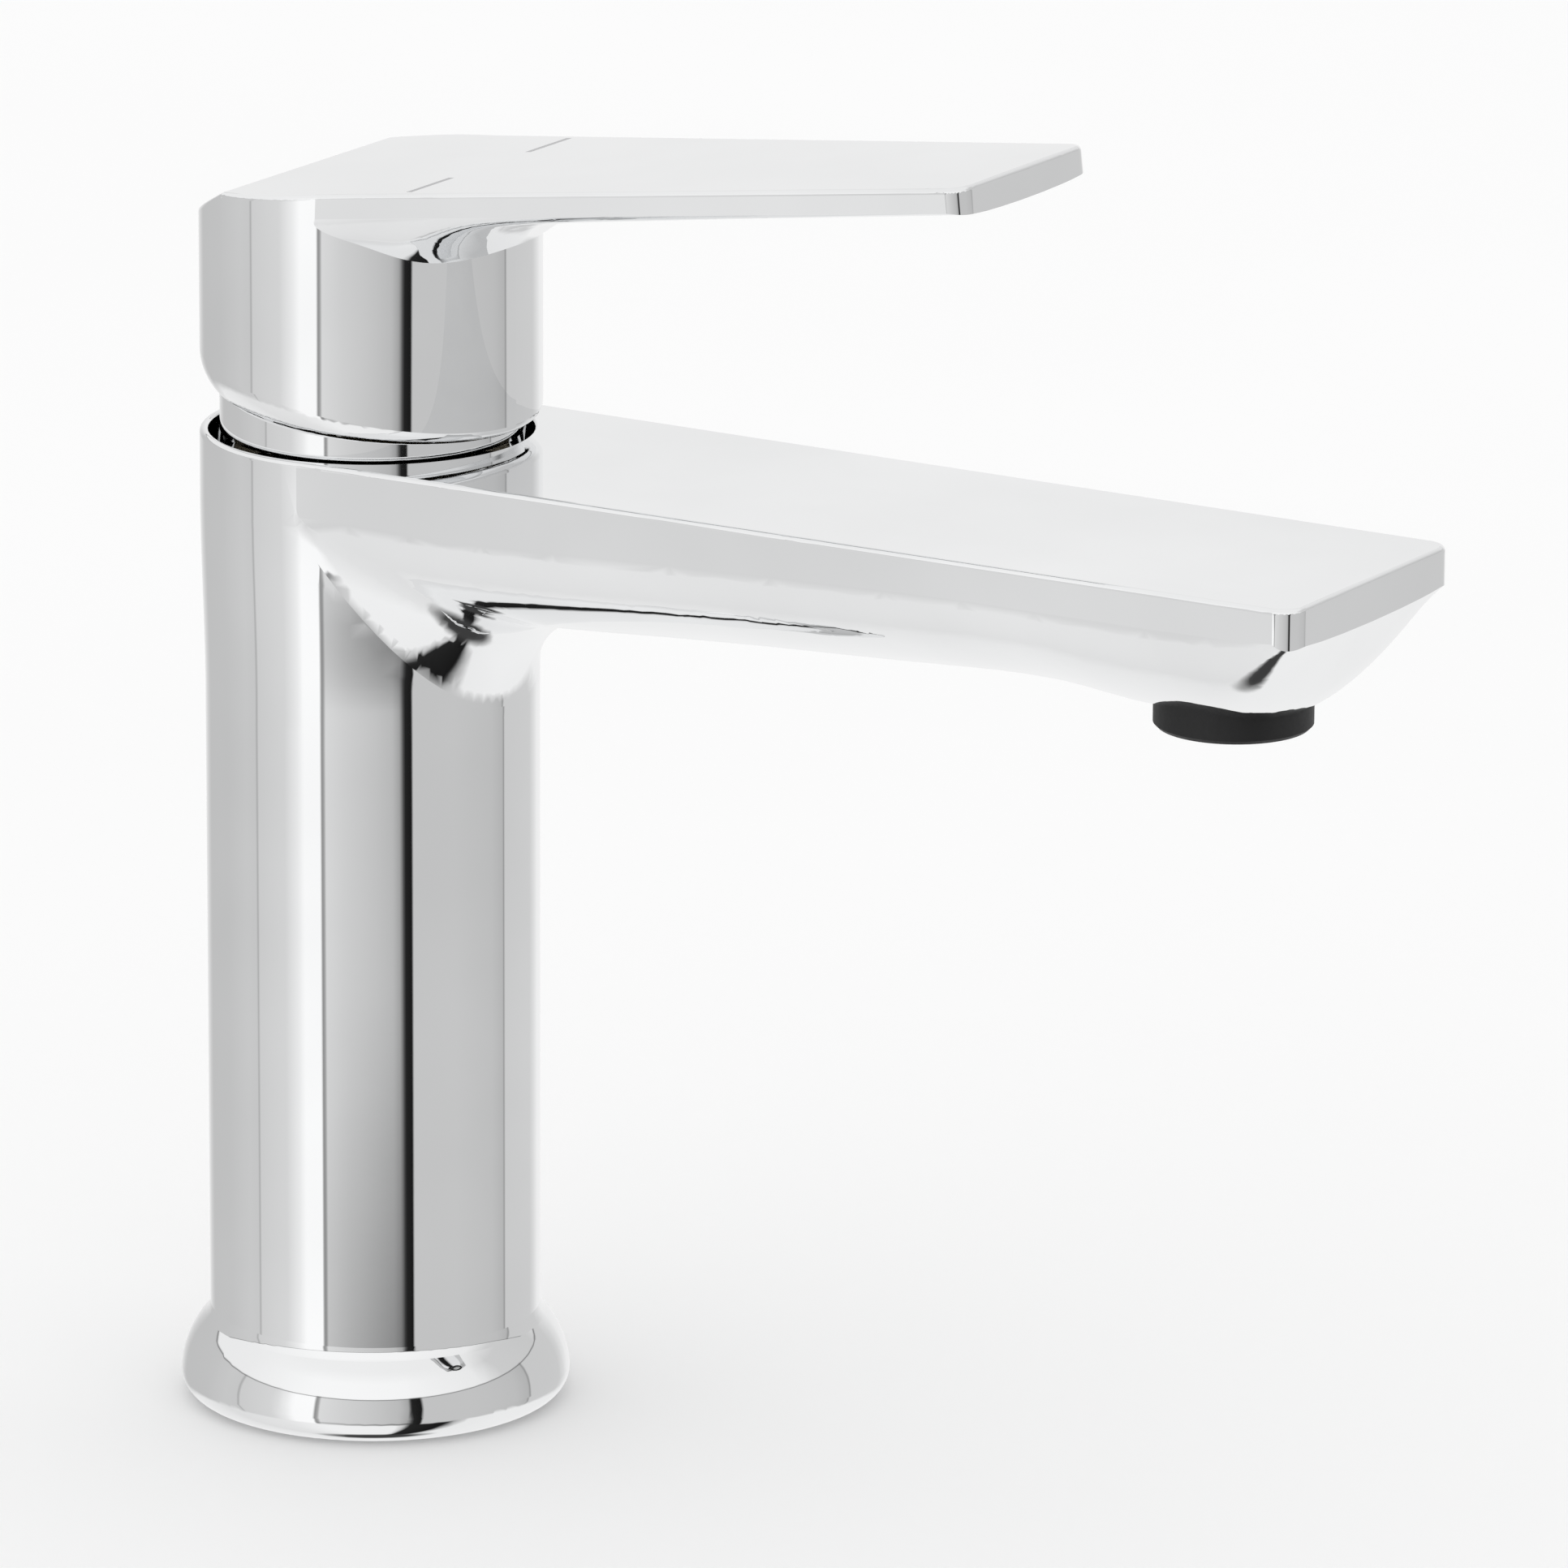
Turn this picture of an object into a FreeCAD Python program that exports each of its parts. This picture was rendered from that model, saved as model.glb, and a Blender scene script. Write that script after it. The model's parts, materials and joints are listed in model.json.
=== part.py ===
"""Single-lever basin mixer: cast body with spout, 35 mm ceramic cartridge, tilting lever and aerator.

Millimetres. The origin is the centre of the foot's underside, +Z is up and the spout points along -Y.
The rest position is the closed one: lever down and central.
"""

import FreeCAD
import Part
import Sketcher
import math
import os
import re

Vector = FreeCAD.Vector

# ---------------------------------------------------------------- driving dimensions
SIZES = {
    # body: round column with a flared foot
    "column_radius": 22.45,
    "rim_radius": 23.0,
    "rim_height": 134.8,
    "flare_start": 98.0,
    "flare_end": 126.0,
    "foot_height": 11.6,
    "foot_bulge_radius": 26.4,
    "foot_bulge_height": 3.6,
    "foot_radius": 23.9,
    "foot_bore_radius": 19.0,
    "foot_bore_depth": 88.0,
    # body: bores above the bridge
    "bridge_top": 104.0,
    "cartridge_bore_radius": 17.6,
    "annulus_radius": 18.9,
    "annulus_bottom": 107.5,
    "annulus_top": 115.5,
    "nut_bore_radius": 18.5,
    "nut_bore_bottom": 118.5,
    "collar_bore_radius": 21.8,
    "collar_bore_bottom": 126.0,
    # body: spout
    "reach": 132.4,
    "spout_tip": 152.8,
    "spout_root_half_width": 22.5,
    "spout_tip_half_width": 21.3,
    "tip_corner_radius": 3.6,
    "waterway_radius": 3.8,
    # threads for the supply hoses and the fixing stud
    "inlet_radius": 4.55,
    "inlet_spacing": 18.0,
    "inlet_set_back": 4.0,
    "stud_hole_radius": 3.4,
    "stud_set_forward": 9.0,
    "stud_hole_depth": 12.0,
    # cartridge
    "cartridge_radius": 17.45,
    "shoulder_height": 119.5,
    "oring_bottom": 116.2,
    "oring_radius": 16.2,
    "neck_radius": 12.6,
    "neck_top": 134.0,
    "cavity_radius": 14.0,
    "disc_radius": 10.8,
    "disc_bottom": 107.0,
    "disc_split": 110.0,
    "disc_top": 113.0,
    "fixed_disc_radius": 13.7,
    "carrier_plate_top": 115.7,
    "flange_top": 117.3,
    "cavity_top": 117.5,
    "disc_rest_offset": 2.8,
    "collar_radius": 10.6,
    "pivot_height": 142.0,
    "stem_ball_height": 128.0,
    "stem_half_width": 4.0,
    "stem_top": 165.5,
    "pin_radius": 1.5,
    # nut and dome over the cartridge
    "nut_bore": 13.7,
    "nut_top": 125.6,
    "dome_radius": 16.0,
    "dome_wall": 0.9,
    # lever
    "hub_radius": 22.9,
    "skirt_radius": 20.3,
    "skirt_wall": 1.5,
    "skirt_bottom": 134.6,
    "hub_bottom": 136.6,
    "hub_bottom_slope": 3.7,
    "front_rounding": 1.2,
    "chin_radius": 7.5,
    "lever_height": 170.4,
    "lever_rise": 6.7,
    "bevel_start": 10.0,
    "bevel_slope": 27.0,
    "lever_tip": 100.6,
    "lever_root_half_width": 22.5,
    "lever_tip_half_width": 16.2,
    "lever_corner_radius": 3.0,
    "lever_side": 3.2,
    # aerator
    "aerator_radius": 10.4,
    "aerator_bottom": 112.5,
    "boss_bottom": 114.9,
    "recess_top": 118.2,
    "aerator_bore_radius": 9.6,
    "aerator_bore_top": 124.5,
}

# ---------------------------------------------------------------- fixed sizes
# roundings
JUNCTION_FILLET = 13.0
EDGE_ROUNDING = 0.7
LIP_ROUNDING = 0.4
FOOT_FILLET = 2.5
TOP_ROUNDING = 0.7
# body: water ports and the waterway's three points, as (forward, height)
PORT_RADIUS = 2.9
PORT_INSET = 1.8
GASKET_DEPTH = 1.6
GASKET_INSET = 0.9
GASKET_RIM = 1.6
WATERWAY_START = (17.1, 112.3)
WATERWAY_BEND = (40.0, 121.2)
WATERWAY_END_HEIGHT = 122.4
# lever: hollow, socket, screw and marks
HOLLOW_RADIUS = 17.0
SOCKET_CLEARANCE = 0.05
SCREW_RADIUS = 1.95
SCREW_HEIGHT = 160.4
SCREW_LENGTH = 8.0
PLUG_START = 19.3
PLUG_LENGTH = 3.0
SKIRT_TOP = 146.0
MARK_LENGTH = 10.3
MARK_WIDTH = 0.9
MARK_DEPTH = 0.3
MARK_INNER = 9.3
MARK_FORWARD = 19.4
# stem, its ball and the slot the ball works in
STEM_BOTTOM = 136.0
STEM_NECK_RADIUS = 2.2
BALL_RADIUS = 3.0
BALL_SLOT_HALF = 3.15
BALL_SLOT_BOTTOM = 124.5
POST_HALF_LENGTH = 4.0
POST_HEIGHT = 15.3
# cartridge: inlet ports and their seals
PORT_HOLE_RADIUS = 2.5
PORT_SPACING_INSET = 3.2
PORT_Y = 3.5
SEAL_DEPTH = 1.2
SEAL_INNER = 2.55
SEAL_OUTER = 3.6
# dome: radius of its upper opening
DOME_OPENING = 12.6

doc = FreeCAD.newDocument("BasinMixer")
sheet = doc.addObject("Spreadsheet::Sheet", "Sizes")
for row, (alias, amount) in enumerate(SIZES.items(), start=1):
    sheet.set(f"A{row}", alias)
    sheet.set(f"B{row}", str(amount))
    sheet.setAlias(f"B{row}", alias)
doc.recompute()

ALIAS = re.compile(r"\b(" + "|".join(sorted(SIZES, key=len, reverse=True)) + r")\b")
nodes = []


def bound(text):
    """The expression with each dimension's name made a reference to its cell."""
    return ALIAS.sub(r"Sizes.\1", str(text))


def value(text):
    """The number that an expression of named dimensions comes to."""
    return float(sheet.evalExpression(bound(text)))


def size(alias):
    """One named dimension's number."""
    return float(sheet.get(alias))


# ---------------------------------------------------------------- sketch and feature helpers
def plane_of(body, role):
    return next(f for f in body.Origin.OriginFeatures if f.Role == role)


def place_point(sketch, geometry, end, point, label):
    """Fixes one end of a sketch line at a point given as two expressions."""
    for axis, constraint, expression in zip("xy", ("DistanceX", "DistanceY"), point):
        index = sketch.addConstraint(
            Sketcher.Constraint(constraint, -1, 1, geometry, end, value(expression))
        )
        sketch.renameConstraint(index, f"{label}_{axis}")
        sketch.setExpression(f"Constraints.{label}_{axis}", bound(expression))


def polygon_sketch(body, name, role, points, offset="0"):
    """A closed outline through points, each bound to the dimensions, on an origin plane."""
    sketch = body.newObject("Sketcher::SketchObject", name)
    sketch.AttachmentSupport = [(plane_of(body, role), "")]
    sketch.MapMode = "FlatFace"
    sketch.AttachmentOffset = FreeCAD.Placement(Vector(0, 0, value(offset)), FreeCAD.Rotation())
    sketch.setExpression("AttachmentOffset.Base.z", bound(offset))
    corners = [Vector(value(x), value(y), 0) for x, y in points]
    for start, end in zip(corners, corners[1:] + corners[:1]):
        sketch.addGeometry(Part.LineSegment(start, end), False)
    for index in range(len(points)):
        follower = (index + 1) % len(points)
        sketch.addConstraint(Sketcher.Constraint("Coincident", index, 2, follower, 1))
    for index, point in enumerate(points):
        place_point(sketch, index, 1, point, f"p{index}")
    return sketch


def circle_sketch(body, name, role, circles, offset="0"):
    """Circles given as (x, y, radius) expressions, on an origin plane."""
    sketch = body.newObject("Sketcher::SketchObject", name)
    sketch.AttachmentSupport = [(plane_of(body, role), "")]
    sketch.MapMode = "FlatFace"
    sketch.AttachmentOffset = FreeCAD.Placement(Vector(0, 0, value(offset)), FreeCAD.Rotation())
    sketch.setExpression("AttachmentOffset.Base.z", bound(offset))
    for index, (x, y, radius) in enumerate(circles):
        centre = Vector(value(x), value(y), 0)
        sketch.addGeometry(Part.Circle(centre, Vector(0, 0, 1), value(radius)), False)
        place_point(sketch, index, 3, (x, y), f"c{index}")
        at = sketch.addConstraint(Sketcher.Constraint("Radius", index, value(radius)))
        sketch.renameConstraint(at, f"r{index}")
        sketch.setExpression(f"Constraints.r{index}", bound(radius))
    return sketch


def new_body(label, x="0", y="0", z="0"):
    body = doc.addObject("PartDesign::Body", label)
    body.Label = label
    for axis, expression in zip("xyz", (x, y, z)):
        body.setExpression(f"Placement.Base.{axis}", bound(expression))
    nodes.append(body)
    return body


def revolved(label, profile, x="0", y="0", z="0"):
    """A turned piece: its half section, as (radius, height) expressions, revolved about its own Z axis."""
    body = new_body(label, x, y, z)
    sketch = polygon_sketch(body, label + "_section", "XZ_Plane", profile)
    turned = body.newObject("PartDesign::Revolution", label + "_turned")
    turned.Profile = sketch
    turned.ReferenceAxis = (sketch, ["V_Axis"])
    turned.Angle = 360.0
    body.Tip = turned
    return body


def padded(label, sketch_of, height):
    """A flat piece: sketch_of(body) drawn on the XY plane and padded up by height."""
    body = new_body(label)
    pad = body.newObject("PartDesign::Pad", label + "_pad")
    pad.Profile = sketch_of(body)
    pad.Length = value(height)
    pad.setExpression("Length", bound(height))
    body.Tip = pad
    return body


def pocketed(body, sketch):
    """Cuts the sketch right through the body, both ways, and checks that it took material away."""
    doc.recompute()
    before = body.Shape.Volume
    pocket = body.newObject("PartDesign::Pocket", sketch.Name + "_cut")
    pocket.Profile = sketch
    pocket.Type = "ThroughAll"
    pocket.Midplane = True
    body.Tip = pocket
    doc.recompute()
    if body.Shape.Volume > before - 0.01:
        raise ValueError(f"{pocket.Name} cuts nothing")
    return body


def ring(label, inner, outer, bottom, top, **place):
    """A plain ring with a square section."""
    return revolved(label, [(inner, bottom), (outer, bottom), (outer, top), (inner, top)], **place)


def feature(label, shape):
    """A cast or moulded piece whose free-form shape no sketched feature gives."""
    piece = doc.addObject("Part::Feature", label)
    piece.Label = label
    piece.Shape = shape.removeSplitter() if len(shape.Solids) == 1 else shape
    piece.Placement = FreeCAD.Placement()
    nodes.append(piece)
    return piece


def cylinder(radius, bottom, top, x=0.0, y=0.0):
    return Part.makeCylinder(radius, top - bottom, Vector(x, y, bottom))


def turned_solid(points):
    """A solid of revolution about Z from (radius, height) corners."""
    wire = Part.makePolygon([Vector(r, 0, z) for r, z in points + points[:1]])
    return Part.Face(wire).revolve(Vector(), Vector(0, 0, 1), 360)


def filleted(shape, radius, wanted):
    """Rounds the edges for which wanted(edge) holds."""
    edges = [edge for edge in shape.Edges if wanted(edge)]
    return shape.makeFillet(radius, edges)


def hull_section(y, half_width, top, side_bottom, belly_bottom):
    """A cross-section of a spout or lever: flat top, upright sides and an elliptical belly."""
    corners = [
        Vector(half_width, y, side_bottom),
        Vector(half_width, y, top),
        Vector(-half_width, y, top),
        Vector(-half_width, y, side_bottom),
    ]
    depth = side_bottom - belly_bottom
    belly = []
    steps = 12
    for step in range(steps + 1):
        angle = math.pi * step / steps
        x = -half_width * math.cos(angle)
        z = side_bottom - depth * math.sin(angle)
        belly.append(Vector(x, y, z))
    curve = Part.BSplineCurve()
    curve.interpolate(belly)
    edges = [Part.makeLine(a, b) for a, b in zip(corners, corners[1:])]
    return Part.Wire([*edges, curve.toShape()])


def hull(sections, top):
    """A smooth solid through hull sections given as (y, half width, side bottom, belly bottom)."""
    wires = [hull_section(y, width, top, side, belly) for y, width, side, belly in sections]
    return Part.makeLoft(wires, True, False)


def rounded_tip_prism(root_half_width, tip_half_width, tip, corner, bottom, top):
    """The plan outline of a spout or lever with its two tip corners rounded, as an upright prism."""
    root = 6.0
    outline = [
        Vector(root_half_width, root, bottom),
        Vector(-root_half_width, root, bottom),
        Vector(-tip_half_width, -tip, bottom),
        Vector(tip_half_width, -tip, bottom),
    ]
    block = Part.Face(Part.makePolygon(outline + outline[:1])).extrude(Vector(0, 0, top - bottom))
    upright = [e for e in block.Edges if e.BoundBox.ZLength > 1 and e.BoundBox.YMax < -tip + 1]
    return block.makeFillet(corner, upright)


# ---------------------------------------------------------------- body
def column_solid():
    """The round column with its flared, bulging foot, before any bore is cut."""
    foot = Vector(size("foot_radius"), 0, 0)
    bulge = Vector(size("foot_bulge_radius"), 0, size("foot_bulge_height"))
    crease = Vector(size("column_radius"), 0, size("foot_height"))
    flare_start = Vector(size("column_radius"), 0, size("flare_start"))
    flare_end = Vector(size("rim_radius"), 0, size("flare_end"))
    rim = Vector(size("rim_radius"), 0, size("rim_height"))
    below_bulge = Vector(bulge.x - 0.55, 0, bulge.z * 0.36)
    above_bulge = Vector(bulge.x - 1.0, 0, bulge.z + 3.9)
    flare = Part.BSplineCurve()
    flare.interpolate(
        [flare_start, flare_end], InitialTangent=Vector(0, 0, 28), FinalTangent=Vector(0, 0, 28)
    )
    edges = [
        Part.makeLine(Vector(), foot),
        Part.Arc(foot, below_bulge, bulge).toShape(),
        Part.Arc(bulge, above_bulge, crease).toShape(),
        Part.makeLine(crease, flare_start),
        flare.toShape(),
        Part.makeLine(flare_end, rim),
        Part.makeLine(rim, Vector(0, 0, rim.z)),
        Part.makeLine(Vector(0, 0, rim.z), Vector()),
    ]
    column = Part.Face(Part.Wire(edges)).revolve(Vector(), Vector(0, 0, 1), 360)

    def is_foot_crease(edge):
        box = edge.BoundBox
        return box.ZLength < 0.01 and abs(box.ZMin - size("foot_height")) < 0.01

    return filleted(column, FOOT_FILLET, is_foot_crease)


def spout_solid():
    """The flat-topped spout: its belly drops to the aerator and sweeps up to the tip."""
    root, tip = size("spout_root_half_width"), size("spout_tip_half_width")
    length, boss = size("spout_tip"), size("boss_bottom")
    side_bottoms = [(2, 127.3), (20, 127.4), (35, 127.6), (50, 128.1), (70, 128.9), (90, 129.5)]
    side_bottoms += [(108, 129.8), (116, 129.8), (124, 129.8), (132, 129.8), (140, 129.9)]
    side_bottoms += [(145, 130.0), (149, 130.2), (length, 130.4)]
    bellies = [112.0, 112.0, 112.4, 113.4, 114.6, 115.6, 116.4, 116.0, boss + 0.1, boss, boss + 0.1]
    bellies += [117.3, 122.0, 129.2]
    sections = []
    for (y, side_bottom), belly in zip(side_bottoms, bellies):
        share = y / length
        half_width = root + (tip - root) * share + 0.45 * math.exp(-y / 9.0)
        sections.append((-y, half_width, side_bottom, belly))
    blank = hull(sections, size("rim_height"))
    corner = size("tip_corner_radius")
    margin = 0.02
    prism = rounded_tip_prism(root + 0.6, tip + margin, length, corner, 100.0, 140.0)
    return blank.common(prism)


def body_bores():
    """Everything that is bored into the casting, as one tool."""
    far = size("rim_height") + 5
    tools = [
        cylinder(size("foot_bore_radius"), -1, size("foot_bore_depth")),
        cylinder(size("cartridge_bore_radius"), size("bridge_top"), far),
        cylinder(size("annulus_radius"), size("annulus_bottom"), size("annulus_top")),
        cylinder(size("nut_bore_radius"), size("nut_bore_bottom"), far),
        cylinder(size("collar_bore_radius"), size("collar_bore_bottom"), far),
    ]
    bridge_middle = (size("foot_bore_depth") + size("bridge_top")) / 2
    for side in (-1, 1):
        x, y = side * size("inlet_spacing") / 2, size("inlet_set_back")
        tools.append(cylinder(size("inlet_radius"), size("foot_bore_depth") - 1, bridge_middle, x, y))
        port_x = side * (size("inlet_spacing") / 2 - PORT_INSET)
        tools.append(cylinder(PORT_RADIUS, bridge_middle - 1, size("bridge_top") + 1, port_x, y))
    stud_top = size("foot_bore_depth") + size("stud_hole_depth")
    stud_y = -size("stud_set_forward")
    tools.append(cylinder(size("stud_hole_radius"), size("foot_bore_depth") - 1, stud_top, 0, stud_y))
    tools.append(gasket_groove())
    tools.append(spout_waterway())
    return tools[0].fuse(tools[1:])


def gasket_groove():
    """The groove that the foot gasket fills."""
    inner, outer = size("foot_bore_radius") + GASKET_INSET, size("foot_radius") - GASKET_RIM
    return turned_solid([(inner, -1), (outer, -1), (outer, GASKET_DEPTH), (inner, GASKET_DEPTH)])


def spout_waterway():
    """The channel from the ring chamber round the cartridge, up into the spout and out to the aerator."""
    radius, reach = size("waterway_radius"), size("reach")
    start = Vector(0, -WATERWAY_START[0], WATERWAY_START[1])
    bend = Vector(0, -WATERWAY_BEND[0], WATERWAY_BEND[1])
    end = Vector(0, -reach, WATERWAY_END_HEIGHT)
    runs = [Part.makeSphere(radius, bend)]
    for a, b in ((start, bend), (bend, end)):
        runs.append(Part.makeCylinder(radius, (b - a).Length, a, b - a))
    below = size("boss_bottom") - 6
    bore = cylinder(size("aerator_bore_radius"), below, size("aerator_bore_top"), y=-reach)
    recess = cylinder(size("aerator_radius") + 0.05, below, size("recess_top"), y=-reach)
    return bore.fuse([recess, *runs])


def is_junction(edge):
    """True for the edges where the spout's belly leaves the column."""
    middle = edge.valueAt((edge.FirstParameter + edge.LastParameter) / 2)
    on_column = abs(math.hypot(middle.x, middle.y) - size("column_radius")) < 0.7
    return on_column and middle.y < -1 and 105 < middle.z < 127.2


def is_top_rim(edge):
    box = edge.BoundBox
    return box.ZMin > size("rim_height") - 0.01 and box.ZMax < size("rim_height") + 0.01


def make_body():
    """The whole casting: column and spout joined, rounded and bored."""
    casting = column_solid().fuse(spout_solid()).removeSplitter()
    casting = filleted(casting, JUNCTION_FILLET, is_junction)
    casting = filleted(casting, EDGE_ROUNDING, is_top_rim)
    casting = casting.cut(body_bores())
    lip_radius = size("collar_bore_radius")

    def is_collar_lip(edge):
        is_round = edge.Curve.TypeId == "Part::GeomCircle"
        return is_round and abs(edge.Curve.Radius - lip_radius) < 0.01 and is_top_rim(edge)

    return filleted(casting, LIP_ROUNDING, is_collar_lip)


feature("body", make_body())


# ---------------------------------------------------------------- lever
def rise_placement():
    """Carries the lever plate from level, at the origin, to its rise above the hub."""
    axis = Vector(0, 0, size("lever_height"))
    return FreeCAD.Placement(axis, FreeCAD.Rotation(Vector(1, 0, 0), -size("lever_rise")))


def plate_solid():
    """The tapering plate, drawn level with its top at zero and then tilted up towards its tip."""
    root, tip = size("lever_root_half_width"), size("lever_tip_half_width")
    length = size("lever_tip") / math.cos(math.radians(size("lever_rise")))
    depths = [(0, 13.5), (14, 13.0), (20, 11.8), (24, 9.5), (28, 7.6), (33, 6.5), (40, 5.8), (50, 5.4)]
    depths += [(60, 5.1), (75, 4.7), (90, 4.4), (length, 4.1)]
    sections = []
    for y, depth in depths:
        half_width = root + (tip - root) * y / length
        sections.append((-y, half_width, -size("lever_side"), -depth))
    blank = hull(sections, 0.0)
    corner = size("lever_corner_radius")
    prism = rounded_tip_prism(root + 0.6, tip + 0.02, length, corner, -20.0, 20.0)
    return blank.common(prism)


def block_below(origin, slope):
    """A big block whose top face passes through the origin point and rises by slope towards -Y."""
    span = 400.0
    block = Part.makeBox(span, span, span, Vector(-span / 2, -span / 2, -span))
    block.Placement = FreeCAD.Placement(origin, FreeCAD.Rotation(Vector(1, 0, 0), -slope))
    return block


def hub_solid():
    """The round hub: its under edge rises a little and its rounding grows from front to back."""
    radius, top = size("hub_radius"), 180.0
    halves = []
    for turn in (90, -90):
        half_round = Part.makeCylinder(radius, top, Vector(), Vector(0, 0, 1), 180)
        half_round.Placement = FreeCAD.Placement(Vector(), FreeCAD.Rotation(Vector(0, 0, 1), turn))
        halves.append(half_round)
    under = block_below(Vector(0, -radius, size("hub_bottom")), -size("hub_bottom_slope"))
    hub = halves[0].fuse(halves[1]).cut(under)
    middle = size("hub_bottom") + 10.0
    under_edges = [edge for edge in hub.Edges if edge.BoundBox.ZMax < middle and edge.Vertexes[0].Y < 0]
    return hub.makeFillet(size("front_rounding"), size("chin_radius"), under_edges[:1])


def lever_cavities():
    """The hollow over the dome, the seat for the skirt, the stem's socket and the screw hole."""
    skirt, wall = size("skirt_radius"), size("skirt_wall")
    pivot = size("pivot_height")
    socket = size("stem_half_width") + SOCKET_CLEARANCE
    socket_top = size("stem_top") + 0.1
    screw_start = Vector(0, size("stem_half_width"), SCREW_HEIGHT)
    return cylinder(skirt, 125, SKIRT_TOP).fuse(
        [
            cylinder(skirt - wall, 125, SKIRT_TOP + 2),
            Part.makeSphere(HOLLOW_RADIUS, Vector(0, 0, pivot)),
            Part.makeBox(2 * socket, 2 * socket, socket_top - pivot, Vector(-socket, -socket, pivot)),
            Part.makeCylinder(SCREW_RADIUS, 30, screw_start, Vector(0, 1, 0)),
        ]
    )


def mark_solid(side):
    """A short bar let into the lever's top, crosswise, on one side of the middle."""
    bar = Part.makeBox(MARK_LENGTH, MARK_WIDTH, MARK_DEPTH)
    x = MARK_INNER if side > 0 else -MARK_INNER - MARK_LENGTH
    bar.translate(Vector(x, -MARK_FORWARD, -MARK_DEPTH))
    bar.Placement = rise_placement() * bar.Placement
    return bar


def topped_hub():
    """The hub under the lever's top plane and the bevel behind it, with its top edges rounded."""
    rise, start = size("lever_rise"), size("bevel_start")
    axis = Vector(0, 0, size("lever_height"))
    bevel = axis + Vector(0, start, -start * math.tan(math.radians(rise)))
    hub = hub_solid().common(block_below(axis, rise))
    hub = hub.common(block_below(bevel, size("bevel_slope")))
    hub = hub.Solids[0]

    def is_top_edge(edge):
        return edge.BoundBox.ZMin > size("hub_bottom") + 20 and edge.Curve.TypeId != "Part::GeomLine"

    return filleted(hub, TOP_ROUNDING, is_top_edge)


def make_lever():
    """The whole lever: plate and hub rounded, joined and hollowed, with seats for the two marks."""
    plate = plate_solid()

    def is_top_edge(edge):
        return edge.BoundBox.ZMin > -0.01 and edge.BoundBox.YMin < -1

    plate = filleted(plate, TOP_ROUNDING, is_top_edge)
    plate.Placement = rise_placement()
    lever = topped_hub().fuse(plate).cut(lever_cavities())
    for side in (-1, 1):
        lever = lever.cut(mark_solid(side))
    return lever


feature("lever_handle", make_lever())
feature("hot_mark", mark_solid(-1))
feature("cold_mark", mark_solid(1))
ring("lever_skirt", "skirt_radius - skirt_wall", "skirt_radius", "skirt_bottom", SKIRT_TOP)
screw_start = size("stem_half_width")
along_screw = Vector(0, 1, 0)
screw_place = Vector(0, screw_start, SCREW_HEIGHT)
feature("lever_set_screw", Part.makeCylinder(SCREW_RADIUS, SCREW_LENGTH, screw_place, along_screw))
plug_place = Vector(0, PLUG_START, SCREW_HEIGHT)
feature("set_screw_plug", Part.makeCylinder(SCREW_RADIUS, PLUG_LENGTH, plug_place, along_screw))

# ---------------------------------------------------------------- stem, pin and turning collar
half = size("stem_half_width")
pivot = size("pivot_height")
ball_height = size("stem_ball_height")
stem = Part.makeBox(2 * half, 2 * half, size("stem_top") - STEM_BOTTOM, Vector(-half, -half, STEM_BOTTOM))
neck = cylinder(STEM_NECK_RADIUS, ball_height, STEM_BOTTOM + 0.5)
stem = stem.fuse([neck, Part.makeSphere(BALL_RADIUS, Vector(0, 0, ball_height))])
pin_hole = Part.makeCylinder(size("pin_radius") + 0.05, 30, Vector(-15, 0, pivot), Vector(1, 0, 0))
feature("lever_stem", stem.cut(pin_hole))
pin_reach = size("collar_radius") - 0.6
pin = Part.makeCylinder(size("pin_radius"), 2 * pin_reach, Vector(-pin_reach, 0, pivot), Vector(1, 0, 0))
feature("stem_pin", pin)

collar = turned_solid(
    [
        (0, size("carrier_plate_top") + 0.1),
        (size("cavity_radius") - 0.2, size("carrier_plate_top") + 0.1),
        (size("cavity_radius") - 0.2, size("flange_top")),
        (size("collar_radius"), size("flange_top")),
        (size("collar_radius"), pivot + 3.5),
        (0, pivot + 3.5),
    ]
)
slot_half = half + 0.15
slot = Part.makeBox(2 * slot_half, 24, 40, Vector(-slot_half, -12, 110))
pin_bore = Part.makeCylinder(size("pin_radius"), 30, Vector(-15, 0, pivot), Vector(1, 0, 0))
feature("turning_collar", collar.cut([slot, pin_bore]))

# ---------------------------------------------------------------- disc carrier and ceramic discs
offset = size("disc_rest_offset")
carrier = cylinder(size("disc_radius"), size("disc_top"), size("carrier_plate_top"), y=offset)
post_corner = Vector(-half, -POST_HALF_LENGTH, size("disc_top"))
carrier = carrier.fuse(Part.makeBox(2 * half, 2 * POST_HALF_LENGTH, POST_HEIGHT, post_corner))
slot_corner = Vector(-10, -BALL_SLOT_HALF, BALL_SLOT_BOTTOM)
ball_slot = Part.makeBox(20, 2 * BALL_SLOT_HALF, 12, slot_corner)
feature("disc_carrier", carrier.cut(ball_slot))

moving = cylinder(size("disc_radius"), size("disc_split"), size("disc_top"), y=offset)
chamber = cylinder(3.0, size("disc_split") - 1, size("disc_split") + 1.6, y=offset + 6.4)
feature("moving_ceramic_disc", moving.cut(chamber))

inlet_x = f"inlet_spacing / 2 - {PORT_SPACING_INSET}"
inlet_holes = [(x, str(PORT_Y), str(PORT_HOLE_RADIUS)) for x in (inlet_x, f"-({inlet_x})")]
fixed_disc_circles = [("0", "0", "fixed_disc_radius"), *inlet_holes]
padded(
    "fixed_ceramic_disc",
    lambda body: circle_sketch(body, "fixed_disc_outline", "XY_Plane", fixed_disc_circles, "disc_bottom"),
    "disc_split - disc_bottom",
)

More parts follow.
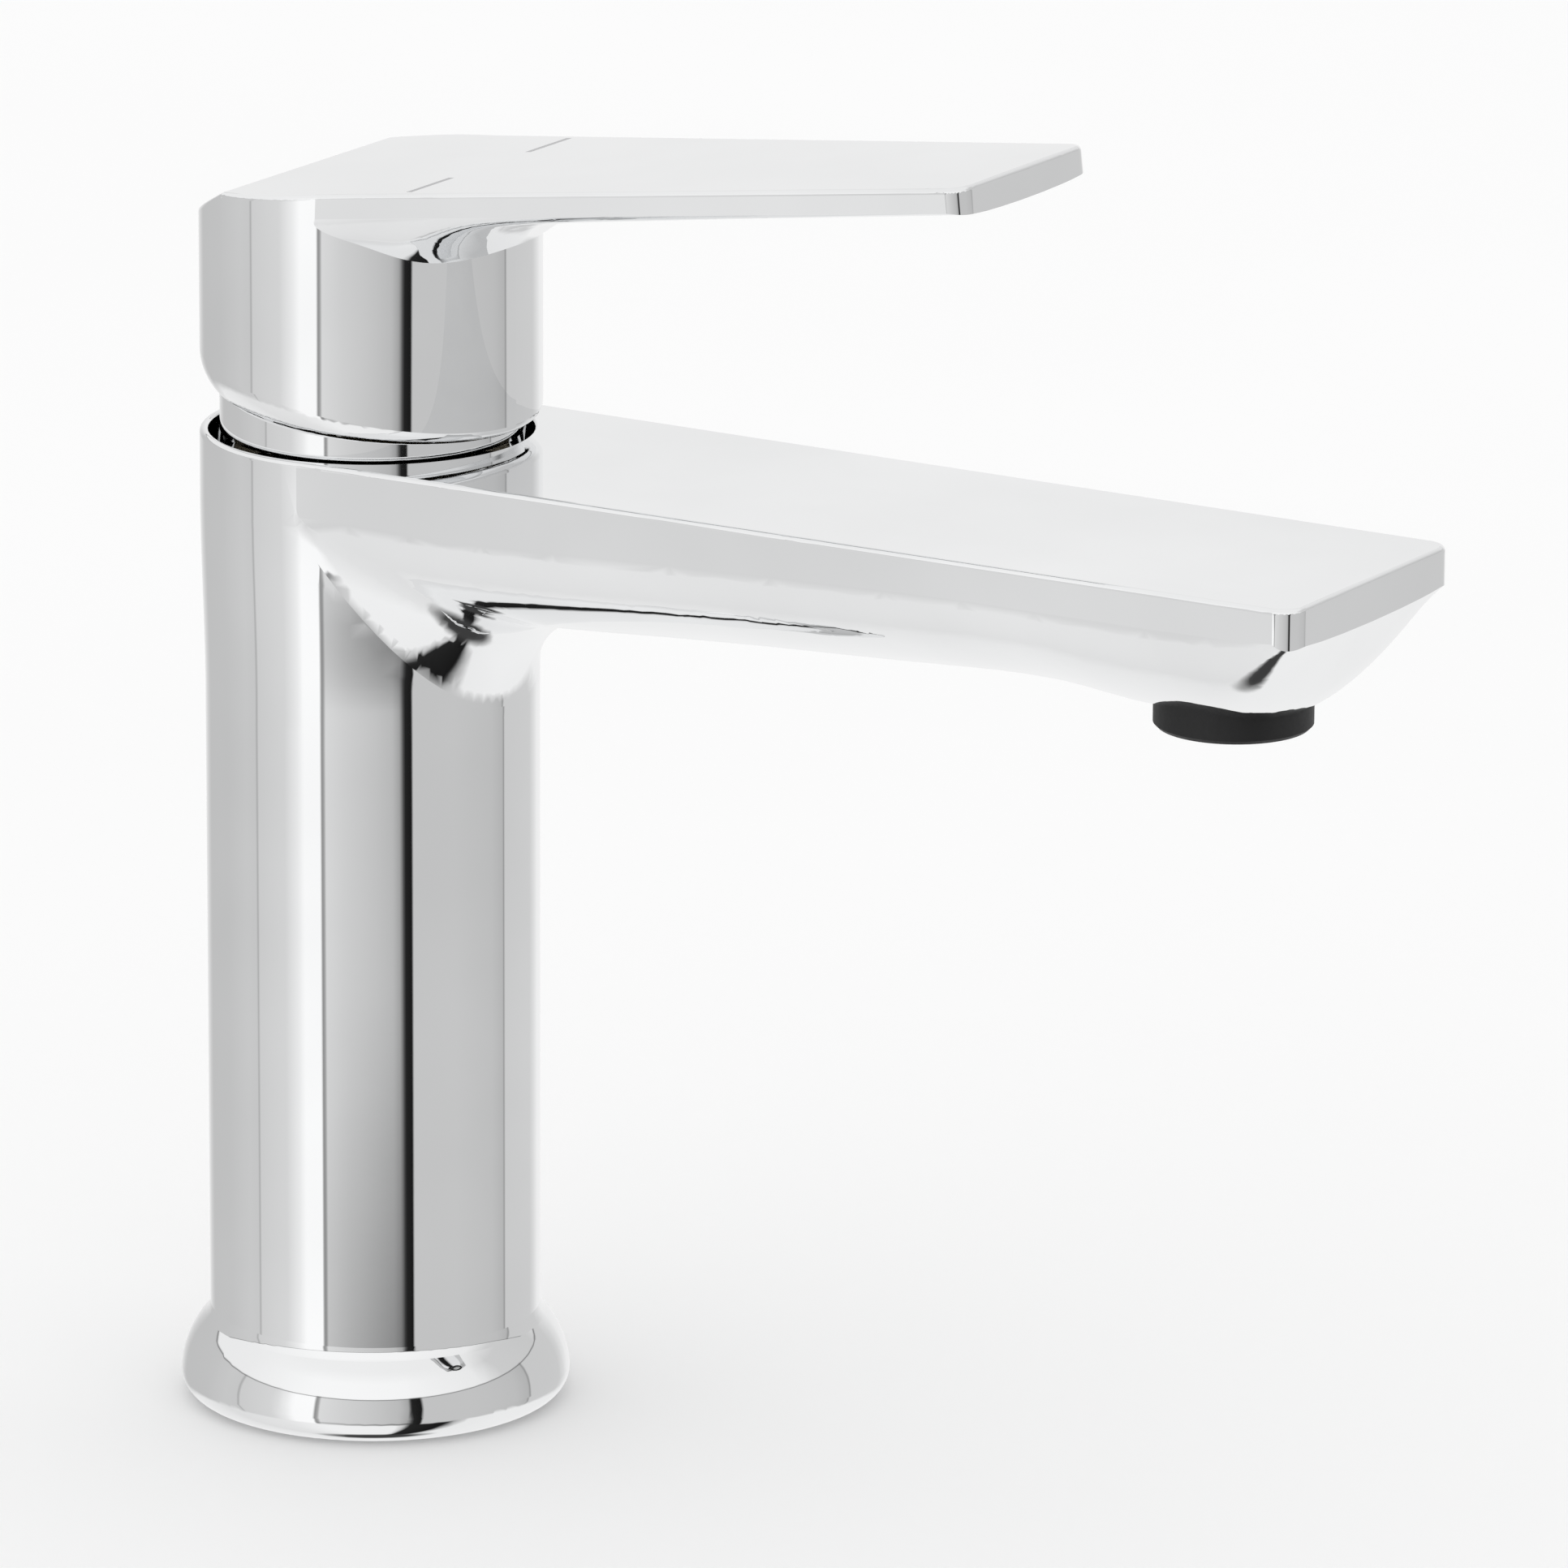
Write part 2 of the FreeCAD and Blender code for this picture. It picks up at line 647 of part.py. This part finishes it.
# ---------------------------------------------------------------- cartridge shell
port_x = size("inlet_spacing") / 2 - PORT_SPACING_INSET
base_bottom, base_top = size("bridge_top"), size("disc_bottom")
base = cylinder(size("cartridge_radius"), base_bottom, base_top)
for side in (-1, 1):
    x = side * port_x
    base = base.cut(
        [
            cylinder(PORT_HOLE_RADIUS, base_bottom - 1, base_top + 1, x, PORT_Y),
            cylinder(SEAL_OUTER, base_bottom - 1, base_bottom + SEAL_DEPTH, x, PORT_Y),
            cylinder(SEAL_OUTER, base_top - SEAL_DEPTH, base_top + 1, x, PORT_Y),
        ]
    )
feature("cartridge_base", base)
housing = revolved(
    "cartridge_housing",
    [
        ("cavity_radius", "disc_bottom"),
        ("cartridge_radius", "disc_bottom"),
        ("cartridge_radius", "oring_bottom"),
        ("oring_radius", "oring_bottom"),
        ("oring_radius", "oring_bottom + 1.2"),
        ("cartridge_radius", "oring_bottom + 1.2"),
        ("cartridge_radius", "shoulder_height"),
        ("neck_radius", "shoulder_height"),
        ("neck_radius", "neck_top"),
        ("collar_radius + 0.08", "neck_top"),
        ("collar_radius + 0.08", "cavity_top"),
        ("cavity_radius", "cavity_top"),
    ],
)
window_bottom, window_top = "disc_split + 0.5", "disc_split + 4.5"
window_corners = [("-25", window_bottom), ("-5", window_bottom), ("-5", window_top), ("-25", window_top)]
pocketed(housing, polygon_sketch(housing, "outlet_window", "YZ_Plane", window_corners))


def pair_of_seals(label, bottom):
    """Two identical sealing rings, one round each inlet port."""
    rings = []
    for side in (-1, 1):
        corners = [(SEAL_INNER, 0), (SEAL_OUTER, 0), (SEAL_OUTER, SEAL_DEPTH), (SEAL_INNER, SEAL_DEPTH)]
        one = turned_solid(corners)
        one.translate(Vector(side * port_x, PORT_Y, bottom))
        rings.append(one)
    feature(label, Part.makeCompound(rings))


pair_of_seals("inlet_seals", size("bridge_top"))
pair_of_seals("disc_seals", size("disc_bottom") - SEAL_DEPTH)
ring("housing_oring", "oring_radius", "cartridge_bore_radius", "oring_bottom", "oring_bottom + 1.2")
ring("hot_limit_ring", "collar_radius + 0.12", "neck_radius - 0.4", "neck_top", "neck_top + 1.8")
ring(
    "slip_washer",
    "neck_radius + 0.15",
    "cartridge_bore_radius - 0.3",
    "shoulder_height",
    "shoulder_height + 0.5",
)

# ---------------------------------------------------------------- retaining nut and dome
nut = ring("retaining_nut", "nut_bore", "nut_bore_radius - 0.05", "shoulder_height + 0.5", "nut_top")
slot_bottom, slot_top = "nut_top - 2", "nut_top + 1"
slot_corners = [("-1.6", slot_bottom), ("1.6", slot_bottom), ("1.6", slot_top), ("-1.6", slot_top)]
for index, role in enumerate(("XZ_Plane", "YZ_Plane")):
    pocketed(nut, polygon_sketch(nut, f"nut_slot_{index}", role, slot_corners))


def dome_solid():
    """A thin zone of a sphere centred on the stem's pin, on a neck that screws into the nut."""
    wall, outer = size("dome_wall"), size("dome_radius")
    neck = size("nut_bore") - 0.05
    inner_neck = neck - wall + 0.05
    seat = size("nut_top")

    def height_on(radius, across, side):
        return pivot + side * math.sqrt(radius**2 - across**2)

    inner = outer - wall
    low_out = Vector(neck, 0, height_on(outer, neck, -1))
    high_out = Vector(DOME_OPENING, 0, height_on(outer, DOME_OPENING, 1))
    low_in = Vector(inner_neck, 0, height_on(inner, inner_neck, -1))
    inner_opening = DOME_OPENING - 0.5
    high_in = Vector(inner_opening, 0, height_on(inner, inner_opening, 1))
    flange = size("cartridge_radius") - 1.0
    foot = [(inner_neck, seat - 4.5), (neck, seat - 4.5), (neck, seat), (flange, seat), (flange, seat + 0.5)]
    foot += [(neck, seat + 0.5)]
    corners = [Vector(r, 0, z) for r, z in foot]
    edges = [Part.makeLine(a, b) for a, b in zip(corners, corners[1:])]
    edges.append(Part.makeLine(corners[-1], low_out))
    edges.append(Part.Arc(low_out, Vector(outer, 0, pivot), high_out).toShape())
    edges.append(Part.makeLine(high_out, high_in))
    edges.append(Part.Arc(high_in, Vector(inner, 0, pivot), low_in).toShape())
    edges.append(Part.makeLine(low_in, corners[0]))
    return Part.Face(Part.Wire(edges)).revolve(Vector(), Vector(0, 0, 1), 360)


feature("cartridge_dome", dome_solid())

# ---------------------------------------------------------------- foot gasket
ring(
    "foot_gasket",
    f"foot_bore_radius + {GASKET_INSET}",
    f"foot_radius - {GASKET_RIM}",
    "0",
    GASKET_DEPTH,
)

# ---------------------------------------------------------------- aerator
spout_end = {"y": "-reach"}
revolved(
    "aerator_housing",
    [
        ("aerator_radius - 3", "aerator_bottom"),
        ("aerator_radius - 0.5", "aerator_bottom"),
        ("aerator_radius", "aerator_bottom + 0.5"),
        ("aerator_radius", "recess_top - 0.05"),
        ("aerator_bore_radius - 0.06", "recess_top - 0.05"),
        ("aerator_bore_radius - 0.06", "boss_bottom + 6.5"),
        ("aerator_radius - 2", "boss_bottom + 6.5"),
        ("aerator_radius - 2", "boss_bottom - 0.4"),
        ("aerator_radius - 3", "boss_bottom - 0.4"),
    ],
    **spout_end,
)


def perforated(label, bottom, thickness, hole_radius, rings):
    """A disc inside the aerator with a centre hole and rings of holes, as (pitch radius, count)."""
    circles = [("0", "0", "aerator_radius - 2.05"), ("0", "0", hole_radius)]
    for pitch_radius, count in rings:
        for step in range(count):
            angle = 2 * math.pi * step / count
            x, y = pitch_radius * math.cos(angle), pitch_radius * math.sin(angle)
            circles.append((f"{x:.4f}", f"{y:.4f}", hole_radius))
    disc = padded(
        label,
        lambda body: circle_sketch(body, label + "_holes", "XY_Plane", circles, bottom),
        thickness,
    )
    disc.setExpression("Placement.Base.y", bound("-reach"))


perforated("aerator_mixer", "boss_bottom - 0.35", "2.6", "0.75", [(2.4, 6), (4.7, 12), (6.8, 18)])
perforated("flow_regulator", "boss_bottom + 2.35", "1.6", "0.9", [(5.4, 8)])
perforated("strainer_screen", "boss_bottom + 4.05", "0.6", "0.55", [(2.0, 6), (4.0, 12), (6.2, 18)])
ring(
    "aerator_washer",
    "aerator_radius - 3",
    "aerator_bore_radius - 0.1",
    "boss_bottom + 6.5",
    "boss_bottom + 8.1",
    **spout_end,
)

# ---------------------------------------------------------------- check and export
doc.recompute()
os.makedirs("parts", exist_ok=True)
for item in doc.Objects:
    if {"Invalid", "Error"} & set(item.State):
        raise RuntimeError(f"{item.Label} did not recompute: {item.State}")
for node in nodes:
    shape = node.Shape
    if shape.isNull() or not shape.isValid():
        raise RuntimeError(f"{node.Label} has no valid shape")
    shape.exportStep(f"parts/{node.Label}.step")
    print(f"{node.Label}: {len(shape.Solids)} solid(s), {shape.Volume:.1f} mm3")
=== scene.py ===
"""Chrome basin mixer on a plain pale floor, seen from the photograph's side. Metres, CAD frame."""

import json
import math

import bpy
from mathutils import Matrix, Vector

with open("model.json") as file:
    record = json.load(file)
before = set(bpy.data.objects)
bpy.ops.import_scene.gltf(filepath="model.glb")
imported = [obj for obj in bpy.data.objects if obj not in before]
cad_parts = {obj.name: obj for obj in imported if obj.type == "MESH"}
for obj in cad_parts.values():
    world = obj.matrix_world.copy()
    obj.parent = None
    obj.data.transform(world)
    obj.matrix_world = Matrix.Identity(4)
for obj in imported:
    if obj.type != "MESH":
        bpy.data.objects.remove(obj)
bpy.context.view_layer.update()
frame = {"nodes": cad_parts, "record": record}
nodes = frame["nodes"]

# ---------------------------------------------------------------- camera
AZIMUTH, ELEVATION, ROLL = math.radians(-58.64), math.radians(15.34), math.radians(-0.27)
CAMERA_PLACE = Vector((-1.34328, -0.88339, 0.52615))
LENS, SENSOR = 284.2, 36.0

level_right = Vector((math.cos(AZIMUTH), math.sin(AZIMUTH), 0))
toward = Vector((math.sin(AZIMUTH), -math.cos(AZIMUTH), 0))
back = toward * math.cos(ELEVATION) + Vector((0, 0, math.sin(ELEVATION)))
level_up = back.cross(level_right)
right = level_right * math.cos(ROLL) - level_up * math.sin(ROLL)
up = level_right * math.sin(ROLL) + level_up * math.cos(ROLL)

for name in ("Camera", "Light", "Cube"):
    if name in bpy.data.objects:
        bpy.data.objects.remove(bpy.data.objects[name])
scene = bpy.context.scene
lens_data = bpy.data.cameras.new("view")
lens_data.lens = LENS
lens_data.sensor_width = SENSOR
lens_data.clip_start = 0.05
lens_data.clip_end = 60.0
camera = bpy.data.objects.new("view", lens_data)
rotation = Matrix((right, up, back)).transposed().to_4x4()
camera.matrix_world = Matrix.Translation(CAMERA_PLACE) @ rotation
scene.collection.objects.link(camera)
scene.camera = camera
scene.view_settings.view_transform = "Standard"


# ---------------------------------------------------------------- node helpers
class Tree:
    """Short calls for building a node tree."""

    def __init__(self, owner):
        owner.use_nodes = True
        self.tree = owner.node_tree
        self.tree.nodes.clear()

    def node(self, kind, inputs=None, **settings):
        made = self.tree.nodes.new(kind)
        for key, setting in settings.items():
            setattr(made, key, setting)
        for key, given in (inputs or {}).items():
            if isinstance(given, bpy.types.NodeSocket):
                self.tree.links.new(given, made.inputs[key])
            else:
                made.inputs[key].default_value = given
        return made

    def math(self, operation, *given):
        made = self.node("ShaderNodeMath", dict(enumerate(given)), operation=operation)
        return made.outputs[0]

    def dot(self, direction, vector):
        inputs = {0: direction, 1: vector}
        return self.node("ShaderNodeVectorMath", inputs, operation="DOT_PRODUCT").outputs["Value"]

    def mix(self, factor, a, b):
        return self.node("ShaderNodeMix", {0: factor, 6: a, 7: b}, data_type="RGBA").outputs[2]

    def ramp(self, factor, stops, interpolation="LINEAR"):
        made = self.node("ShaderNodeValToRGB", {0: factor})
        made.color_ramp.interpolation = interpolation
        elements = made.color_ramp.elements
        while len(elements) > 1:
            elements.remove(elements[0])
        for index, (place, tone) in enumerate(stops):
            element = elements[0] if index == 0 else elements.new(place)
            element.position = place
            element.color = (tone, tone, tone, 1)
        return made.outputs[0]


def grey(tone):
    """An opaque colour of one tone."""
    return (tone, tone, tone, 1)


# ---------------------------------------------------------------- studio light
# The sky is fixed in the world. Each table gives what the chrome mirrors all round, as (turn, tone), with
# the turn in degrees from the direction of the photograph's viewpoint, to the right as seen from there.
# This one is for the height of the side panels.
AROUND = [
    (-180, 0.90), (-166, 0.78), (-150, 0.56), (-118, 0.58), (-96, 0.63), (-87, 0.62), (-86.4, 0.44),
    (-85.6, 0.44), (-85, 0.66), (-62, 0.72), (-52, 0.90), (-47, 1.05), (-35, 1.05), (-34.2, 0.9),
    (-33.6, 0.10), (-32.6, 0.12), (-32.0, 0.76), (-16, 0.68), (4, 0.60), (15, 0.54), (20, 0.40),
    (23.0, 0.02), (28.5, 0.01), (29.2, 0.60), (60, 0.60), (92, 0.56), (103, 0.50), (104.2, 0.30),
    (105.4, 0.64), (140, 0.66), (158, 0.9), (180, 0.90),
]
# The panel facing the column darkens towards its foot: by these shares, at its left and right ends.
FACING_LEFT, FACING_RIGHT = -32.0, 20.0
FOOT_SHARE_LEFT, FOOT_SHARE_RIGHT = 0.73, 0.43
# What it mirrors low down, below the side panels.
BELOW = [
    (-180, 0.92), (-120, 0.86), (-100, 0.80), (-60, 0.84), (-30, 0.95), (14, 0.93), (19, 0.6), (22, 0.02),
    (46, 0.01), (53, 0.5), (62, 0.9), (100, 0.92), (180, 0.92),
]
# What it mirrors above them.
ABOVE = [
    (-180, 0.88), (-90, 0.9), (-40, 1.0), (20, 1.0), (70, 0.9), (88, 0.66), (128, 0.64), (140, 0.8),
    (180, 0.88),
]
# Tones overhead, straight below and in the dark line over the panels, and what unmirrored rays see.
TOP_TONE, BOTTOM_TONE, LINE_TONE, PLAIN_TONE = 0.92, 0.05, 0.06, 1.02
# Heights, as the sine of the angle above the horizon.
PANEL_LOW, PANEL_HIGH = -0.37, 0.30
LOW_BLUR, HIGH_BLUR = 0.09, 0.03
FOOT_FROM, FOOT_TO = -0.280, -0.312
TOP_FROM, TOP_TO = 0.62, 0.80
BOTTOM_FROM, BOTTOM_TO = -0.95, -0.985
LINE = [(-0.005, 0.0), (0.006, 0.85), (0.020, 0.0)]


def foot_share(turn_deg):
    """How much of the facing panel's tone is left at the foot; other panels keep theirs."""
    if not FACING_LEFT <= turn_deg <= FACING_RIGHT:
        return 1.0
    along = (turn_deg - FACING_LEFT) / (FACING_RIGHT - FACING_LEFT)
    return FOOT_SHARE_LEFT + (FOOT_SHARE_RIGHT - FOOT_SHARE_LEFT) * along


def studio_world():
    """A studio of pale panels that only mirrored rays see; every other ray sees plain near-white."""
    world = bpy.data.worlds.new("studio")
    scene.world = world
    t = Tree(world)
    direction = t.node("ShaderNodeTexCoord").outputs["Generated"]
    side = t.dot(direction, tuple(level_right))
    front = t.dot(direction, tuple(toward))
    height = t.dot(direction, (0, 0, 1))
    turn = t.math("ARCTAN2", side, front)
    share = t.math("MULTIPLY_ADD", turn, 0.5 / math.pi, 0.5)
    level = t.math("MULTIPLY_ADD", height, 0.5, 0.5)

    def belt(stops):
        return t.ramp(share, [(turn_deg / 360 + 0.5, tone) for turn_deg, tone in stops])

    def at(sine):
        return sine * 0.5 + 0.5

    around, below, above = belt(AROUND), belt(BELOW), belt(ABOVE)
    near_foot = belt([(turn_deg, tone * foot_share(turn_deg)) for turn_deg, tone in AROUND])
    is_near_foot = t.ramp(level, [(at(FOOT_TO), 1.0), (at(FOOT_FROM), 0.0)])
    is_above = t.ramp(level, [(at(PANEL_HIGH), 0.0), (at(PANEL_HIGH + HIGH_BLUR), 1.0)])
    is_below = t.ramp(level, [(at(PANEL_LOW - LOW_BLUR), 1.0), (at(PANEL_LOW), 0.0)])
    is_top = t.ramp(level, [(at(TOP_FROM), 0.0), (at(TOP_TO), 1.0)])
    is_bottom = t.ramp(level, [(at(BOTTOM_TO), 1.0), (at(BOTTOM_FROM), 0.0)])
    is_line = t.ramp(level, [(at(PANEL_HIGH + rise), amount) for rise, amount in LINE])

    around = t.mix(is_near_foot, around, near_foot)
    card = t.mix(is_below, t.mix(is_above, around, above), below)
    card = t.mix(is_line, card, grey(LINE_TONE))
    card = t.mix(is_top, card, grey(TOP_TONE))
    card = t.mix(is_bottom, card, grey(BOTTOM_TONE))
    mirrored = t.node("ShaderNodeLightPath").outputs["Is Glossy Ray"]
    colour = t.mix(mirrored, grey(PLAIN_TONE), card)
    shown = t.node("ShaderNodeBackground", {"Color": colour, "Strength": 1.0})
    t.node("ShaderNodeOutputWorld", {"Surface": shown.outputs[0]})


studio_world()


# ---------------------------------------------------------------- materials
CLOUD_SHARE = 0.06  # the colour cloud's scale against the grain's
CLOUD_TINT = 0.93  # the cloud's other colour where none is given
RELIEF_DEPTH = 0.0001


def material(name, colour, metallic, roughness, spread, grain, bump, coat=0.0, second=None, lines=None):
    """A surface with its own fine grain: noise varies its colour, roughness and height."""
    made = bpy.data.materials.new(name)
    t = Tree(made)
    place = t.node("ShaderNodeTexCoord").outputs["Object"]
    fine = t.node(
        "ShaderNodeTexNoise", {"Vector": place, "Scale": grain, "Detail": 4.0, "Roughness": 0.6}
    ).outputs[0]
    cloud = t.node(
        "ShaderNodeTexNoise",
        {"Vector": place, "Scale": grain * CLOUD_SHARE, "Detail": 3.0, "Roughness": 0.5},
    ).outputs[0]
    shade = t.node("ShaderNodeMapRange", {0: cloud, 1: 0.3, 2: 0.7, 3: 0.0, 4: 1.0}).outputs[0]
    other = second or tuple(c * CLOUD_TINT for c in colour)
    tint = t.mix(shade, (*colour, 1), (*other, 1))
    rough = t.node(
        "ShaderNodeMapRange", {0: fine, 1: 0.25, 2: 0.75, 3: roughness, 4: roughness + spread}
    ).outputs[0]
    height = fine
    if lines:
        wave = t.node(
            "ShaderNodeTexWave", {"Vector": place, "Scale": lines, "Distortion": 0.6, "Detail": 2.0},
            wave_type="RINGS", rings_direction="Z",
        ).outputs["Fac"]
        height = t.math("ADD", fine, wave)
    relief = t.node("ShaderNodeBump", {"Height": height, "Strength": bump, "Distance": RELIEF_DEPTH})
    shader = t.node(
        "ShaderNodeBsdfPrincipled",
        {
            "Base Color": tint,
            "Metallic": metallic,
            "Roughness": rough,
            "Coat Weight": coat,
            "Normal": relief.outputs[0],
        },
    )
    t.node("ShaderNodeOutputMaterial", {"Surface": shader.outputs[0]})
    return made


CHROME = (0.93, 0.935, 0.94)
# Each slot: colour, then metallic, roughness, spread, grain and bump as material() takes them.
LOOKS = {
    "cast_chrome": (CHROME, 1.0, 0.015, 0.02, 400, 0.004),
    "lever_chrome": (CHROME, 1.0, 0.015, 0.02, 400, 0.004),
    "skirt_chrome": (CHROME, 1.0, 0.02, 0.02, 400, 0.004),
    "dome_chrome": (CHROME, 1.0, 0.05, 0.03, 500, 0.01),
    "mark_fill": ((0.48, 0.48, 0.49), 0.0, 0.45, 0.1, 900, 0.05),
    "black_plastic": ((0.004, 0.004, 0.0045), 0.0, 0.5, 0.1, 1500, 0.12),
    "screw_steel": ((0.55, 0.55, 0.56), 1.0, 0.28, 0.12, 1400, 0.1),
    "plug_plastic": ((0.72, 0.73, 0.74), 0.6, 0.16, 0.08, 900, 0.03),
    "stem_brass": ((0.72, 0.52, 0.24), 1.0, 0.25, 0.15, 900, 0.1),
    "pin_steel": ((0.6, 0.6, 0.61), 1.0, 0.15, 0.08, 1400, 0.05),
    "cartridge_white": ((0.8, 0.8, 0.77), 0.0, 0.38, 0.12, 700, 0.08),
    "cartridge_grey": ((0.13, 0.135, 0.145), 0.0, 0.42, 0.12, 700, 0.08),
    "alumina": ((0.86, 0.82, 0.76), 0.0, 0.08, 0.05, 2200, 0.02),
    "seal_rubber": ((0.02, 0.02, 0.02), 0.0, 0.6, 0.2, 1800, 0.25),
    "limit_red": ((0.5, 0.03, 0.02), 0.0, 0.36, 0.12, 800, 0.08),
    # The nut's colour is darker than its brass: painted shade for the dark gap round the nut.
    "nut_brass": ((0.22, 0.18, 0.11), 1.0, 0.3, 0.15, 900, 0.12),
    "insert_plastic": ((0.6, 0.61, 0.6), 0.0, 0.35, 0.12, 1200, 0.08),
    "screen_steel": ((0.5, 0.5, 0.51), 1.0, 0.3, 0.15, 2600, 0.3),
}
# A glazed coat, or the fine rings that a lathe or a weave leaves.
EXTRAS = {
    "screw_steel": {"lines": 900},
    "stem_brass": {"lines": 700},
    "alumina": {"coat": 0.4},
    "nut_brass": {"lines": 800},
    "screen_steel": {"lines": 2400},
}
made_looks = {
    slot: material(slot + "_look", *look, **EXTRAS.get(slot, {})) for slot, look in LOOKS.items()
}
for part in frame["record"]["subparts"]:
    nodes[part["node"]].material_slots[0].material = made_looks[part["material_slot"]]

# ---------------------------------------------------------------- floor
FLOOR_HALF = 6.0
FLOOR_DROP = 0.0002
FLOOR_TONE, FLOOR_CLOUD = (0.96, 0.96, 0.96), (0.95, 0.95, 0.95)
floor_mesh = bpy.data.meshes.new("floor")
corners = [(x * FLOOR_HALF, y * FLOOR_HALF, 0) for x, y in ((-1, -1), (1, -1), (1, 1), (-1, 1))]
floor_mesh.from_pydata(corners, [], [(0, 1, 2, 3)])
floor = bpy.data.objects.new("floor", floor_mesh)
floor.location.z = -FLOOR_DROP
floor_mesh.materials.append(
    material("floor_look", FLOOR_TONE, 0.0, 0.85, 0.1, 60, 0.02, second=FLOOR_CLOUD)
)
# The chrome mirrors the studio's lower panels in place of the floor.
floor.visible_glossy = False
scene.collection.objects.link(floor)
